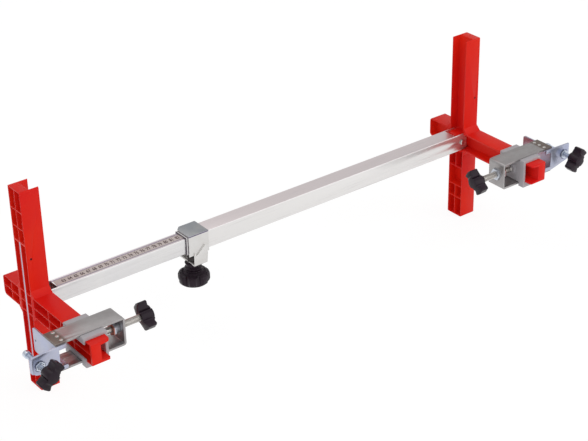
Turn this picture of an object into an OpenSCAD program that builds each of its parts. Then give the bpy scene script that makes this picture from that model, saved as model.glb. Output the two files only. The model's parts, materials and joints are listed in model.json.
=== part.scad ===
// Door frame clamp: a telescopic spreader bar with a moulded cross-shaped head at each end.
// Each head bears on one side of a door frame and folds onto the bar about a riveted pivot.
// On the long arm of each head slides a carriage with a steel yoke. A spindle draws the yoke
// inwards, so the frame's jamb is gripped between the yoke's jaw and the head. A second
// screw on the jaw bears on the wall. A star knob under the bar locks the span.
// X runs along the bar from the left head to the right head, Y away from the user, Z up.
// The origin is on the left head's outer face, on the centre line of the bar.

/* [Bar] */
// Distance between the outer faces of the two heads
span = 830; // [780:5:1000]
// Width of the outer tube, across the bar
tube_w = 28; // [26:0.5:31]
// Height of the outer tube
tube_h = 29; // [26:0.5:31]
// Wall of the outer tube
tube_wall = 1.6; // [1.2:0.1:2.2]
// Length of the outer tube, from the right pivot to the open end
tube_len = 541; // [480:1:600]
// Length of the inner bar, from the left pivot to its end inside the tube
bar_len = 530; // [480:1:560]
// Wall of the inner bar
bar_wall = 1.6; // [1.2:0.1:2.2]
// Play on each side between the inner bar and the outer tube
slide_gap = 0.4; // [0.3:0.05:0.6]
// Width of the measuring tape on top of the inner bar
tape_w = 14; // [12:0.5:18]

/* [Heads] */
// Thickness of a head along the bar
head_depth = 29; // [28:0.5:33]
// Height of a head's post above the bar's centre line
post_up = 176; // [150:1:200]
// Length of the post below the bar's centre line
post_down = 139; // [120:1:170]
// Reach of the long arm towards the user
arm_front = 173; // [165:1:200]
// Reach of the short arm away from the user
arm_back = 65; // [50:1:90]
// Height of both arms
arm_h = 32; // [31:0.5:35]
// Wall of the mouldings
skin = 1.6; // [1.4:0.1:2]
// Thickness of the moulded ribs
rib = 1.6; // [1.2:0.1:2]
// Depth of the pockets in the outer face
pocket_depth = 12.5; // [10:0.5:12.5]
// Thickness of the web between the pockets and the inner channel
web = 2; // [1.6:0.1:2.4]
// Play on each side of the bar when a head is folded onto it
fold_gap = 0.4; // [0.3:0.05:0.6]
// How far the bars' cheeks run past the pivot, inside the head
nose_reach = 10; // [7:0.5:12]
// Diameter of the pivot rivet
pivot_d = 6; // [5:0.5:7]
// Length of the steel stiffening bar in the outer face
stiffener_len = 203; // [180:1:215]
// Thickness of the stiffening bar
stiffener_t = 3; // [2:0.5:4]

/* [Yoke clamps] */
// Distance from the bar's centre line to the yoke's centre line
clamp_reach = 132.5; // [125:0.5:138]
// Width of the yoke's strap
strap_w = 32.5; // [28:0.5:34]
// Thickness of the strap
strap_t = 3; // [2.5:0.1:3.5]
// Outer radius of the strap's bends
bend_r = 4; // [4:0.5:8]
// Gap between the jaw and the head, which takes the door jamb
jamb_gap = 36; // [34:0.5:40]
// Distance from the head's outer face to the yoke's inner end
yoke_reach = 67; // [65:0.5:72]
// Length of the carriage along the arm
carriage_len = 53; // [50:0.5:56]
// Wall of the carriage
carriage_wall = 2; // [1.8:0.1:2.4]
// Running gap between carriage, arm and strap
run_gap = 0.3; // [0.3:0.05:0.5]
// Diameter of the yoke spindle
spindle_d = 10; // [9:0.5:11]
// Diameter across the tips of the wing knobs
wing_span = 40; // [36:0.5:46]

/* [Jaw and wall screw] */
// Thickness of the jaw plate
jaw_t = 2.5; // [2:0.1:3]
// How far the jaw reaches past the strap, away from the user
jaw_back = 28.5; // [20:0.5:32]
// Length of the plate that carries the wall screw
wing_plate_len = 37; // [34:0.5:42]
// Diameter of the nail hole near the jaw's edge
nail_hole_d = 3.2; // [2.5:0.1:4]
// Diameter of the wall screw
wall_screw_d = 8; // [7:0.5:9]
// How far the wall screw's foot stands behind its plate
wall_screw_reach = 36; // [34:0.5:42]

/* [Span lock] */
// Sheet thickness of the saddle and the bracket
sheet_t = 1.5; // [1.2:0.1:2]
// Length of the saddle along the bar
saddle_len = 35; // [32:0.5:44]
// Depth of the bracket below the tube
bracket_drop = 19.5; // [18:0.5:25]
// Diameter of the lock screw
lock_screw_d = 10; // [9:0.5:11]
// Diameter of the star knob
star_d = 48; // [44:1:56]

/* [Hidden] */
$fn = 48;

// Fits and overrun that all pieces share
overrun = 1;
shaft_gap = 0.05;
seat_gap = 0.2;
full_turn = 360;

// Bar sizes that follow from the outer tube
tube_in_w = tube_w - 2 * tube_wall;
tube_in_h = tube_h - 2 * tube_wall;
bar_w = tube_in_w - 2 * slide_gap;
bar_h = tube_in_h - 2 * slide_gap;
bar_in_w = bar_w - 2 * bar_wall;
bar_in_h = bar_h - 2 * bar_wall;
corner_r = 1;
tape_t = 0.4;
tape_sunk = 0.1;
tape_start = 2;
tape_end = 22;
top_notch = 15;

// Head levels: u is the distance from the outer face towards the bar
floor_u = pocket_depth + web;
post_w = tube_w + 2 * (fold_gap + skin);
post_half = post_w / 2;
arm_half = arm_h / 2;
pivot_u = floor_u + fold_gap + tube_h / 2;
channel_half = post_half - skin;
gusset = 8;
pocket_r = 1.2;
post_corner_r = 1.5;
stub_corner_r = 6;
flange_root = 4.2;
flange_tip = 2.6;
ledge_t = 3.3;
lip_reach = 4;
cutout_r = 6;
face_hole_d = 3.5;
face_hole_u = 6.5;
face_hole_z = 73;
stiffener_top = 95;
stiffener_low = stiffener_top - stiffener_len;
slot_half = stiffener_t / 2 + seat_gap / 2;
upper_rib_shares = [0.673, 0.824];
upper_ribs = [stiffener_top + rib, upper_rib_shares[0] * post_up, upper_rib_shares[1] * post_up,
    post_up - skin + rib];
lower_ribs = [stiffener_low - rib, -post_down + skin - rib];
end_wall = 4;
arm_root_t = 5;
arm_root = post_half + arm_root_t;
front_rib_shares = [0.358, 0.552, 0.743];
front_ribs = [arm_root, front_rib_shares[0] * arm_front, front_rib_shares[1] * arm_front,
    front_rib_shares[2] * arm_front, arm_front - end_wall + rib];
back_rib_share = 0.646;
back_ribs = [arm_root, back_rib_share * arm_back, arm_back - skin + rib];
inner_rib_shares = [0.36, 0.608, 0.766];
inner_ribs = [inner_rib_shares[0] * post_down, inner_rib_shares[1] * post_down,
    inner_rib_shares[2] * post_down, post_down - skin + rib];
open_cell = 1;
flange_r = 5;
rivet_head_r = 4.5;
rivet_head_t = 1.8;

// Clamp levels, all for the left head
clamp_y = -clamp_reach;
carriage_out = -2.4;
hook_gap = 0.35;
hook_drop = 5;
carriage_in = head_depth + run_gap + 2 * carriage_wall;
plate_in = arm_half + run_gap;
plate_out = plate_in + carriage_wall;
strap_in = plate_out + run_gap;
strap_out = strap_in + strap_t;
lip_y = strap_w / 2 + run_gap;
lip_top = strap_out - seat_gap * 5;
lip_hang = 3.5;
lip_low = strap_out + lip_hang;
lip_r = 1;
boss_r = 9;
boss_t = 3;
neck_step = 2;
neck_d = spindle_d - neck_step;
clip_t = 1.2;
clip_groove_depth = 0.8;
clip_u = head_depth - clip_t - seat_gap;
clip_r = 7;
neck_end = clip_u - 2 * clip_t;
shoulder_u = carriage_in + boss_t + run_gap;
nut_af = 17;
nut_t = 10.5;
nut_hex_t = 4.5;
nut_body_d = 15.5;
nut_flange_t = 2.5;
nut_seat_d = 13;
knob_gap = 32;
knob_hub_len = 19;
knob_bore_share = 0.7;
knob_u = yoke_reach + knob_gap;

// Jaw levels
jaw_in = -jamb_gap;
jaw_out = jaw_in - jaw_t;
jaw_half = strap_in;
front_y = clamp_y - strap_w / 2 - jaw_t / 2;
jaw_back_y = clamp_y + strap_w / 2 + jaw_back;
ear_len = 14;
tab_len = 12;
tab_h = 6;
jaw_bend_r = 3.5;
jaw_rivet_r = 2;
jaw_rivet_head_t = 0.7;
jaw_rivet_inset = 4.5;
plate_out_x = jaw_out - wing_plate_len;
plate_top_share = 0.9;
plate_low_share = 0.62;
plate_corner_r = 8;
wall_x_share = 0.7;
wall_x = jaw_out - wing_plate_len * wall_x_share;
wall_z = 1;
wall_window_d = 16.5;
wall_nut_side = 22;
wall_nut_t = 6;
foot_d = 10;
foot_len = 7;
foot_wall = 3;
point_d = 5;
wall_knob_gap = 18;
nail_hole_inset = 5;

// Wing knob shape
wing_tip_half = 8.5;
wing_tip_r = 2;
wing_waist = 10;
wing_bow = 1.2;
wing_sweep = 4;
hub_r = 9;
hub_dish = 2.5;
left_spindle_knob_turn = -46;
right_spindle_knob_turn = -50;
left_wall_knob_turn = -46;
right_wall_knob_turn = -128;

// Span lock levels
tube_start = span - pivot_u - tube_len;
saddle_chamfer = 7;
saddle_back_gap = 5.5;
lock_share = 0.44;
lock_x = tube_start + saddle_len * lock_share;
saddle_drop = 4;
bracket_l = 24;
bracket_before_share = 0.34;
leg_shares = [[0.03, 0.72], [0.18, 0.55], [0.82, 0.98], [0.96, 0.80], [0.98, 0.66], [1, 0.50],
    [0.92, 0]];
back_leg_share = 0.7;
bracket_t = 2;
bracket_low = -tube_h / 2 - bracket_drop;
leg_top = -4.5;
lock_nut_af = 16;
lock_nut_t = 8;
pad_d = 12;
pad_gap = 0.3;
pad_t = 5.2;
dog_d = 6;
dog_len = 2.6;
knob_top_gap = 0.4;
knob_top = bracket_low - bracket_t - knob_top_gap;
star_h = 34;
star_neck_share = 0.44;
star_lobes = 7;
star_scallop_r = 9;
star_depth = 3.2;

// A box between its low and high corners
module block(lo, hi) { translate(lo) cube(hi - lo); }

// Outlines drawn in a plane and drawn out along one axis, from lo to hi
module along_x(lo, hi) { translate([lo, 0, 0]) rotate([90, 0, 90]) linear_extrude(hi - lo) children(); }
module along_y(lo, hi) { translate([0, hi, 0]) rotate([90, 0, 0]) linear_extrude(hi - lo) children(); }
module along_z(lo, hi) { translate([0, 0, lo]) linear_extrude(hi - lo) children(); }

// A flat box with round corners, drawn between two corners
module round_box(lo, hi, r) {
    translate([lo.x + r, lo.y]) square([hi.x - lo.x - 2 * r, hi.y - lo.y]);
    translate([lo.x, lo.y + r]) square([hi.x - lo.x, hi.y - lo.y - 2 * r]);
    for (x = [lo.x + r, hi.x - r], y = [lo.y + r, hi.y - r]) translate([x, y]) circle(r);
}

// A round rod along one axis through a point, from lo to hi on that axis
module rod_x(lo, hi, y, z, d) { translate([lo, y, z]) rotate([0, 90, 0]) cylinder(h = hi - lo, d = d); }
module rod_y(lo, hi, x, z, d) { translate([x, hi, z]) rotate([90, 0, 0]) cylinder(h = hi - lo, d = d); }
module rod_z(lo, hi, x, y, d) { translate([x, y, lo]) cylinder(h = hi - lo, d = d); }

// A hexagonal prism given by its width across flats
module hexagon(af) { circle(d = af / cos(30), $fn = 6); }

// Mirrors a piece of the left head over to the right head
module right() { translate([span, 0, 0]) mirror([1, 0, 0]) children(); }

// Hollow section of either bar, drawn in Y and Z
module bar_section(w, h, wall) {
    difference() {
        round_box([-w / 2, -h / 2], [w / 2, h / 2], corner_r);
        translate([-w / 2 + wall, -h / 2 + wall]) square([w - 2 * wall, h - 2 * wall]);
    }
}

// A bar whose end turns about a pivot at x = 0: only its cheeks run past the pivot, and
// they are rounded about it
module pivoted_bar(len, w, h, wall) {
    difference() {
        along_x(-nose_reach, len) bar_section(w, h, wall);
        block([-h, -w / 2 + wall, 0], [top_notch, w / 2 - wall, h / 2 + overrun]);
        block([-h, -w / 2 + wall, -h / 2 - overrun], [0, w / 2 - wall, overrun]);
        difference() {
            block([-h, -w / 2 - overrun, -h / 2 - overrun], [0, w / 2 + overrun, h / 2 + overrun]);
            rod_y(-w, w, 0, 0, h);
        }
        rod_y(-w, w, 0, 0, pivot_d + 2 * shaft_gap);
    }
}

module inner_bar() color("gainsboro") difference() {
    groove_w = tape_w + 2 * seat_gap;
    translate([pivot_u, 0, 0]) pivoted_bar(bar_len, bar_w, bar_h, bar_wall);
    block([0, -groove_w / 2, bar_h / 2 - tape_t - tape_sunk],
          [span, groove_w / 2, bar_h / 2 + overrun]);
}

// Moulded plug that closes the inner bar and guides it inside the tube
module inner_bar_plug() color("dimgray") {
    end_x = pivot_u + bar_len;
    flange_t = 3;
    depth = 14;
    flange_w = tube_in_w - slide_gap;
    flange_h = tube_in_h - slide_gap;
    along_x(end_x, end_x + flange_t)
        round_box([-flange_w / 2, -flange_h / 2], [flange_w / 2, flange_h / 2], corner_r);
    along_x(end_x - depth, end_x)
        bar_section(bar_in_w - seat_gap, bar_in_h - seat_gap, 2 * bar_wall);
}

// Printed steel tape that lies in the groove along the top of the inner bar
module scale_tape() color("seashell")
    block([pivot_u + top_notch + tape_start, -tape_w / 2, bar_h / 2 - tape_t - tape_sunk],
          [pivot_u + bar_len - tape_end, tape_w / 2, bar_h / 2 - tape_sunk]);

module outer_tube() color("silver") difference() {
    translate([span - pivot_u, 0, 0]) mirror([1, 0, 0])
        pivoted_bar(tube_len, tube_w, tube_h, tube_wall);
    rod_z(-tube_h, 0, lock_x, 0, pad_d + 2 * seat_gap);
}

// Outline of a head, drawn in Y and Z: a post, two arms and four small gussets
module head_outline() {
    round_box([-post_half, -post_down], [post_half, post_up], post_corner_r);
    round_box([-arm_front, -arm_half], [post_half, arm_half], post_corner_r);
    round_box([-post_half, -arm_half], [arm_back, arm_half], stub_corner_r);
    polygon([for (s = [[1, 1], [-1, 1], [-1, -1], [1, -1]], k = [0, 1])
        (s.x * s.y > 0) == (k == 0)
            ? [s.x * (post_half + gusset), s.y * arm_half]
            : [s.x * post_half, s.y * (arm_half + gusset)]]);
}

// One pocket in the outer face, between two corners in Y and Z
module pocket(y0, y1, z0, z1) {
    along_x(-overrun, pocket_depth) round_box([y0, z0], [y1, z1], pocket_r);
}

// Two pockets side by side in the post, from z0 up to z1, apart by twice the inner distance
module pocket_pair(z0, z1, inner) {
    for (s = [-1, 1])
        pocket(min(s * inner, s * channel_half), max(s * inner, s * channel_half), z0, z1);
}

// Pockets along an arm between its upright ribs, one above and one below its middle rib;
// side is 1 for the short arm and -1 for the long one
module pocket_rows(ribs, side) {
    for (i = [0:len(ribs) - 2], s = [-1, 1]) {
        ends = [side * ribs[i], side * (ribs[i + 1] - rib)];
        pocket(min(ends), max(ends),
               min(s * rib / 2, s * (arm_half - skin)), max(s * rib / 2, s * (arm_half - skin)));
    }
}

// All pockets of the outer face, and the slot of the stiffening bar
module outer_pockets() {
    beside = slot_half + rib;
    for (i = [0:len(upper_ribs) - 2]) pocket_pair(upper_ribs[i], upper_ribs[i + 1] - rib, rib / 2);
    pocket_pair(lower_ribs[1] + rib, lower_ribs[0], rib / 2);
    pocket_pair(arm_half + rib / 2, stiffener_top - rib, beside);
    pocket_pair(rib / 2, arm_half - rib / 2, beside);
    pocket_pair(-arm_half + rib / 2, -rib / 2, beside);
    pocket_pair(stiffener_low + rib, -arm_half - rib / 2, beside);
    pocket_rows(front_ribs, -1);
    pocket_rows(back_ribs, 1);
    block([-overrun, -slot_half, stiffener_low - seat_gap / 2],
          [pocket_depth, slot_half, stiffener_top + seat_gap / 2]);
}

// Channel along both arms, open towards the bar, with flanges that taper to their edge
module arm_channel() {
    along_y(-arm_front - overrun, arm_back - skin) polygon([
        [floor_u, -arm_half + flange_root], [head_depth + overrun, -arm_half + flange_tip],
        [head_depth + overrun, arm_half - flange_tip], [floor_u, arm_half - flange_root]]);
}

// Pockets in the inner face of the lower post
module inner_pockets(ledge_z) {
    levels = concat([ledge_t - ledge_z], inner_ribs);
    for (i = [0:len(inner_ribs) - 1], s = [0, 1])
        along_x(floor_u, head_depth + overrun) mirror([s, 0])
            round_box([i == open_cell ? -2 * pocket_r : rib / 2, -levels[i + 1] + rib],
                      [channel_half, -levels[i]], pocket_r);
}

// Moulded head for a bar of the given width and height: the upper post is a channel that the
// bar folds into, and a tongue between the bar's cheeks holds the pivot rivet
module head(w, h, wall) {
    ledge_z = -h / 2 - run_gap;
    tongue_r = h / 2 - wall - fold_gap;
    tongue_half = w / 2 - wall - run_gap;
    difference() {
        union() {
            difference() {
                along_x(0, head_depth) head_outline();
                outer_pockets();
                arm_channel();
                inner_pockets(ledge_z);
                block([floor_u, -channel_half, ledge_z],
                      [head_depth + overrun, channel_half, post_up + overrun]);
                along_y(-post_half, post_half) round_box([pivot_u - nose_reach, ledge_z],
                    [head_depth + 2 * cutout_r, arm_half], cutout_r);
                translate([head_depth - flange_r, flange_r - arm_front, 0]) difference() {
                    block([0, -flange_r - overrun, -arm_h], [flange_r + overrun, 0, arm_h]);
                    rod_z(-arm_h - overrun, arm_h + overrun, 0, 0, 2 * flange_r);
                }
            }
            along_x(head_depth, pivot_u + lip_reach)
                round_box([-w / 2, ledge_z - ledge_t], [w / 2, ledge_z], pocket_r);
            rod_y(-tongue_half, tongue_half, pivot_u, 0, 2 * tongue_r);
            block([floor_u, -tongue_half, -tongue_r], [pivot_u, tongue_half, tongue_r]);
        }
        rod_y(-post_w, post_w, pivot_u, 0, pivot_d);
        rod_y(-post_w, -channel_half + overrun, face_hole_u, face_hole_z, face_hole_d);
    }
}

module left_head() color("crimson") head(bar_w, bar_h, bar_wall);
module right_head() color("crimson") right() head(tube_w, tube_h, tube_wall);

// Flat steel bar on edge in the slot of the outer face
module stiffener() {
    along_x(0, pocket_depth - seat_gap / 2)
        translate([-stiffener_t / 2, stiffener_low]) square([stiffener_t, stiffener_len]);
}
module left_stiffener() color("lightsteelblue") stiffener();
module right_stiffener() color("lightsteelblue") right() stiffener();

// Rivet through the tongue and the bar's cheeks, with a domed head outside each cheek
module pivot_rivet(w) {
    cheek = w / 2 + run_gap;
    rod_y(-cheek, cheek, pivot_u, 0, pivot_d);
    for (s = [0, 1]) translate([pivot_u, 0, 0]) mirror([0, s, 0])
        translate([0, cheek, 0]) rotate([-90, 0, 0]) {
            cylinder(h = rivet_head_t / 2, r = rivet_head_r);
            translate([0, 0, rivet_head_t / 2])
                cylinder(h = rivet_head_t / 2, r1 = rivet_head_r, r2 = rivet_head_r - rivet_head_t);
        }
}
module left_pivot_rivet() color("lightgray") pivot_rivet(bar_w);
module right_pivot_rivet() color("lightgray") right() pivot_rivet(tube_w);

// Sheet steel saddle over the open end of the tube; its back wall stands off from the tube
module lock_saddle() color("lightgray") {
    front = -tube_w / 2 - sheet_t;
    back = tube_w / 2 + saddle_back_gap + sheet_t;
    low = -tube_h / 2 - saddle_drop;
    difference() {
        along_x(tube_start, tube_start + saddle_len) difference() {
            round_box([front, low], [back, tube_h / 2 + sheet_t], corner_r);
            translate([front + sheet_t, low - overrun])
                square([back - front - 2 * sheet_t, tube_h / 2 - low + overrun]);
        }
        along_z(-tube_h, tube_h) polygon([[tube_start - overrun, back - saddle_chamfer],
            [tube_start, back - saddle_chamfer], [tube_start + saddle_chamfer, back],
            [tube_start + saddle_chamfer, back + overrun], [tube_start - overrun, back + overrun]]);
    }
}

// U-shaped bracket that clasps the saddle from below and carries the lock screw
module lock_bracket() color("silver") {
    front = -tube_w / 2 - sheet_t - bracket_t;
    back = tube_w / 2 + saddle_back_gap + sheet_t + bracket_t;
    x0 = lock_x - bracket_l * bracket_before_share;
    low = bracket_low - bracket_t;
    leg_h = leg_top - low;
    difference() {
        intersection() {
            along_x(x0, x0 + bracket_l) difference() {
                round_box([front, low], [back, leg_top + overrun], bracket_t);
                translate([front + bracket_t, bracket_low])
                    square([back - front - 2 * bracket_t, tube_h]);
            }
            union() {
                along_y(front - overrun, 0) polygon(concat([[x0, low]],
                    [for (q = leg_shares) [x0 + q.x * bracket_l, low + q.y * leg_h]]));
                block([x0, -overrun, low], [x0 + bracket_l, back + overrun, low + leg_h * back_leg_share]);
            }
        }
        rod_z(low - overrun, bracket_low + overrun, lock_x, 0, lock_screw_d + 2 * seat_gap);
    }
}

// Weld nut on the floor of the bracket
module lock_nut() color("gold") difference() {
    translate([lock_x, 0, 0]) along_z(bracket_low, bracket_low + lock_nut_t) hexagon(lock_nut_af);
    rod_z(bracket_low - overrun, 0, lock_x, 0, lock_screw_d + 2 * shaft_gap);
}

// Pressure pad in the tube's floor, which the lock screw pushes against the inner bar
pad_top = -bar_h / 2 - pad_gap;
module lock_pad() color("goldenrod") difference() {
    rod_z(pad_top - pad_t, pad_top, lock_x, 0, pad_d);
    rod_z(pad_top - pad_t - overrun, pad_top - pad_t + dog_len, lock_x, 0, dog_d + 2 * shaft_gap);
}

module lock_screw() color("darkgray") {
    shoulder = pad_top - pad_t - run_gap;
    rod_z(knob_top - star_h / 2, shoulder, lock_x, 0, lock_screw_d);
    rod_z(shoulder - overrun, shoulder + dog_len, lock_x, 0, dog_d);
}

// Star knob: a round neck that flares into a scalloped wheel
module lock_knob() color("dimgray") difference() {
    star_r = star_d / 2;
    neck_r = star_r * star_neck_share;
    outline_shares = [[0, 0], [0.50, 0], [0.53, 0.03], [0.53, 0.22], [0.55, 0.32], [0.62, 0.40],
        [0.84, 0.50], [0.95, 0.56], [1, 0.64], [1, 0.86], [0.96, 0.94], [0.86, 1], [0, 1]];
    translate([lock_x, 0, knob_top]) rotate_extrude()
        polygon([for (p = outline_shares) [p.x * star_r, -p.y * star_h]]);
    translate([lock_x, 0, knob_top]) for (i = [0:star_lobes - 1])
        rotate([0, 0, full_turn * i / star_lobes])
            translate([star_r + star_scallop_r - star_depth, 0, -star_h - overrun])
                cylinder(h = star_h * (1 - star_neck_share) + overrun, r = star_scallop_r);
    rod_z(knob_top - star_h / 2 - seat_gap, knob_top + overrun, lock_x, 0, lock_screw_d);
}

// Carriage: a moulded shoe that clasps the arm from the bar's side. The strap of the yoke
// slides between its lips, and its boss holds the neck of the spindle
module carriage() {
    y0 = clamp_y - carriage_len / 2;
    y1 = clamp_y + carriage_len / 2;
    difference() {
        union() {
            along_y(y0, y1) difference() {
                round_box([carriage_out, -plate_out], [carriage_in, plate_out], lip_r);
                translate([-hook_gap, -plate_in])
                    square([head_depth + run_gap + hook_gap, 2 * plate_in]);
                translate([carriage_out - overrun, -plate_in + hook_drop])
                    square([head_depth - carriage_out, 2 * (plate_in - hook_drop)]);
            }
            for (s = [0, 1]) translate([0, clamp_y, 0]) mirror([0, s, 0]) {
                along_y(lip_y, carriage_len / 2)
                    round_box([carriage_out, plate_in], [carriage_in, lip_top], lip_r);
                along_y(lip_y, carriage_len / 2)
                    round_box([carriage_out, -lip_low], [carriage_in, -plate_in], lip_r);
            }
            rod_x(carriage_in - carriage_wall, carriage_in + boss_t, clamp_y, 0, 2 * boss_r);
        }
        rod_x(head_depth - overrun, carriage_in + boss_t + overrun, clamp_y, 0, neck_d + 2 * shaft_gap);
    }
}
module left_carriage() color("darkgray") carriage();
module right_carriage() color("darkgray") right() carriage();

// Yoke: a flat strap bent round the carriage, open towards the jamb
module yoke() {
    difference() {
        along_y(clamp_y - strap_w / 2, clamp_y + strap_w / 2) difference() {
            round_box([jaw_out - 2 * bend_r, -strap_out], [yoke_reach, strap_out], bend_r);
            round_box([jaw_out - 3 * bend_r, -strap_in], [yoke_reach - strap_t, strap_in],
                      bend_r - strap_t);
            translate([jaw_out - 3 * bend_r, -strap_out - overrun])
                square([3 * bend_r, 2 * strap_out + 2 * overrun]);
        }
        rod_x(yoke_reach - strap_t - overrun, yoke_reach + overrun, clamp_y, 0, nut_seat_d);
        jaw_rivet_holes();
    }
}
module left_yoke() color("darkgray") yoke();
module right_yoke() color("darkgray") right() yoke();

// Places of the three rivets that fasten each end of the strap to an ear of the jaw
module at_jaw_rivets() {
    for (i = [-1, 0, 1], s = [0, 1]) mirror([0, 0, s])
        translate([jaw_in + ear_len - jaw_rivet_inset, clamp_y + i * strap_w / 3, 0]) children();
}
module jaw_rivet_holes() {
    at_jaw_rivets() translate([0, 0, strap_in - jaw_t - overrun])
        cylinder(h = strap_t + jaw_t + 2 * overrun, r = jaw_rivet_r);
}
module jaw_rivets() {
    at_jaw_rivets() {
        translate([0, 0, strap_in - jaw_t])
            cylinder(h = jaw_t + strap_t + jaw_rivet_head_t, r = jaw_rivet_r);
        translate([0, 0, strap_out]) cylinder(h = jaw_rivet_head_t, r1 = jaw_rivet_r * 3 / 2, r2 = jaw_rivet_r);
    }
}
module left_jaw_rivets() color("silver") jaw_rivets();
module right_jaw_rivets() color("silver") right() jaw_rivets();

// Threaded bush clinched through the yoke's end, with a hexagon at both of its ends
module spindle_nut() difference() {
    inner_face = yoke_reach - strap_t;
    union() {
        translate([0, clamp_y, 0]) along_x(inner_face - nut_t, inner_face - nut_t + nut_hex_t)
            rotate(30) hexagon(nut_af);
        rod_x(inner_face - nut_t + nut_hex_t, inner_face, clamp_y, 0, nut_body_d);
        rod_x(inner_face, yoke_reach, clamp_y, 0, nut_seat_d);
        translate([0, clamp_y, 0]) along_x(yoke_reach, yoke_reach + nut_flange_t) hexagon(nut_af);
    }
    rod_x(0, yoke_reach + nut_flange_t + overrun, clamp_y, 0, spindle_d + 2 * shaft_gap);
}
module left_spindle_nut() color("gold") spindle_nut();
module right_spindle_nut() color("gold") right() spindle_nut();

// Spindle: its neck turns in the carriage, held by a clip on the far side of the wall
module spindle() {
    difference() {
        rod_x(neck_end, shoulder_u + overrun, clamp_y, 0, neck_d);
        difference() {
            rod_x(clip_u - shaft_gap, clip_u + clip_t + shaft_gap, clamp_y, 0, 2 * neck_d);
            rod_x(neck_end, shoulder_u, clamp_y, 0, neck_d - 2 * clip_groove_depth);
        }
    }
    rod_x(shoulder_u, knob_u + knob_hub_len * knob_bore_share, clamp_y, 0, spindle_d);
}
module left_spindle() color("silver") spindle();
module right_spindle() color("silver") right() spindle();

// Open retaining clip in the groove of the spindle's neck
module spindle_clip() {
    opening = neck_d - 4 * clip_groove_depth;
    translate([0, clamp_y, 0]) along_x(clip_u, clip_u + clip_t) difference() {
        circle(clip_r);
        circle(neck_d / 2 - clip_groove_depth + shaft_gap);
        translate([-opening / 2, 0]) square([opening, 2 * clip_r]);
    }
}
module left_spindle_clip() color("slategray") spindle_clip();
module right_spindle_clip() color("slategray") right() spindle_clip();

// Wing knob with its axis along +Z, its hub starting at 0: two wings that widen to their tips
module wing_knob(bore_d) {
    tip = wing_span / 2;
    corner = tip - wing_bow - wing_tip_r;
    difference() {
        intersection() {
            along_z(0, knob_hub_len) {
                circle(hub_r);
                for (x = [-1, 1], y = [-1, 1])
                    translate([x * (wing_tip_half - wing_tip_r), y * corner]) circle(wing_tip_r);
                polygon([for (s = [1, -1]) each [
                    [s * wing_waist / 2, -s * hub_r], [s * wing_waist / 2, s * hub_r],
                    [s * (wing_tip_half - wing_tip_r / 2), s * (corner - wing_tip_r)],
                    [s * wing_tip_half, s * corner], [s * (wing_tip_half - wing_tip_r), s * (corner + wing_tip_r)],
                    [0, s * tip], [-s * (wing_tip_half - wing_tip_r), s * (corner + wing_tip_r)],
                    [-s * wing_tip_half, s * corner],
                    [-s * (wing_tip_half - wing_tip_r / 2), s * (corner - wing_tip_r)]]]);
            }
            along_x(-tip, tip) polygon([
                [-hub_r, 0], [hub_r, 0], [tip, wing_sweep], [tip, knob_hub_len - wing_sweep],
                [tip - wing_sweep, knob_hub_len - hub_dish], [hub_r + hub_dish, knob_hub_len - hub_dish],
                [hub_r, knob_hub_len], [-hub_r, knob_hub_len],
                [-hub_r - hub_dish, knob_hub_len - hub_dish], [-tip + wing_sweep, knob_hub_len - hub_dish],
                [-tip, knob_hub_len - wing_sweep], [-tip, wing_sweep]]);
        }
        translate([0, 0, -overrun])
            cylinder(h = knob_hub_len * knob_bore_share + overrun + seat_gap, d = bore_d);
    }
}

module spindle_knob(turn) {
    translate([knob_u, clamp_y, 0]) rotate([turn, 0, 0]) rotate([90, 0, 90]) wing_knob(spindle_d);
}
module left_spindle_knob() color("dimgray") spindle_knob(left_spindle_knob_turn);
module right_spindle_knob() color("dimgray") right() spindle_knob(right_spindle_knob_turn);

// Jaw: one bent plate. One leaf grips the jamb from behind, the other carries the wall
// screw, and two ears lie inside the strap's ends
module jaw() {
    difference() {
        union() {
            along_z(-jaw_half, jaw_half) difference() {
                round_box([jaw_out, front_y - jaw_t / 2], [jaw_out + 3 * jaw_bend_r, jaw_back_y], jaw_bend_r);
                translate([jaw_in, front_y + jaw_t / 2]) square([3 * jaw_bend_r, jaw_back_y - front_y]);
                translate([jaw_in, front_y - jaw_t]) square([3 * jaw_bend_r, 2 * jaw_t]);
                translate([jaw_out - overrun, jaw_back_y - jaw_bend_r])
                    square([3 * jaw_bend_r + 2 * overrun, jaw_bend_r + overrun]);
            }
            jaw_back_edge();
            along_y(front_y - jaw_t / 2, front_y + jaw_t / 2) wall_plate();
            for (s = [0, 1]) mirror([0, 0, s]) {
                block([jaw_in - overrun / 2, clamp_y - strap_w / 2, jaw_half - jaw_t],
                      [jaw_in + ear_len, clamp_y + strap_w / 2, jaw_half]);
                block([jaw_in - overrun / 2, front_y - jaw_t / 2, jaw_half - tab_h],
                      [jaw_in + tab_len, front_y + jaw_t / 2, jaw_half]);
            }
        }
        jaw_rivet_holes();
        rod_x(jaw_out - overrun, jaw_in + overrun, jaw_back_y - nail_hole_inset, 0, nail_hole_d);
        rod_y(front_y - jaw_t, front_y + jaw_t, wall_x, wall_z, wall_window_d);
    }
}

// Far edge of the gripping leaf, with round corners
module jaw_back_edge() {
    along_x(jaw_out, jaw_in)
        round_box([jaw_back_y - 3 * jaw_bend_r, -jaw_half], [jaw_back_y, jaw_half], jaw_bend_r);
}

// Outline of the leaf that carries the wall screw, drawn in X and Z: its lower edge rises
module wall_plate() {
    low = -jaw_half * plate_low_share;
    polygon([[jaw_out + jaw_bend_r, jaw_half], [plate_out_x, jaw_half * plate_top_share],
             [plate_out_x, low + plate_corner_r], [plate_out_x + plate_corner_r, low],
             [jaw_out, -jaw_half], [jaw_out + jaw_bend_r, -jaw_half]]);
    translate([plate_out_x + plate_corner_r, low + plate_corner_r]) circle(plate_corner_r);
}
module left_jaw() color("lightsteelblue") jaw();
module right_jaw() color("lightsteelblue") right() jaw();

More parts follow.
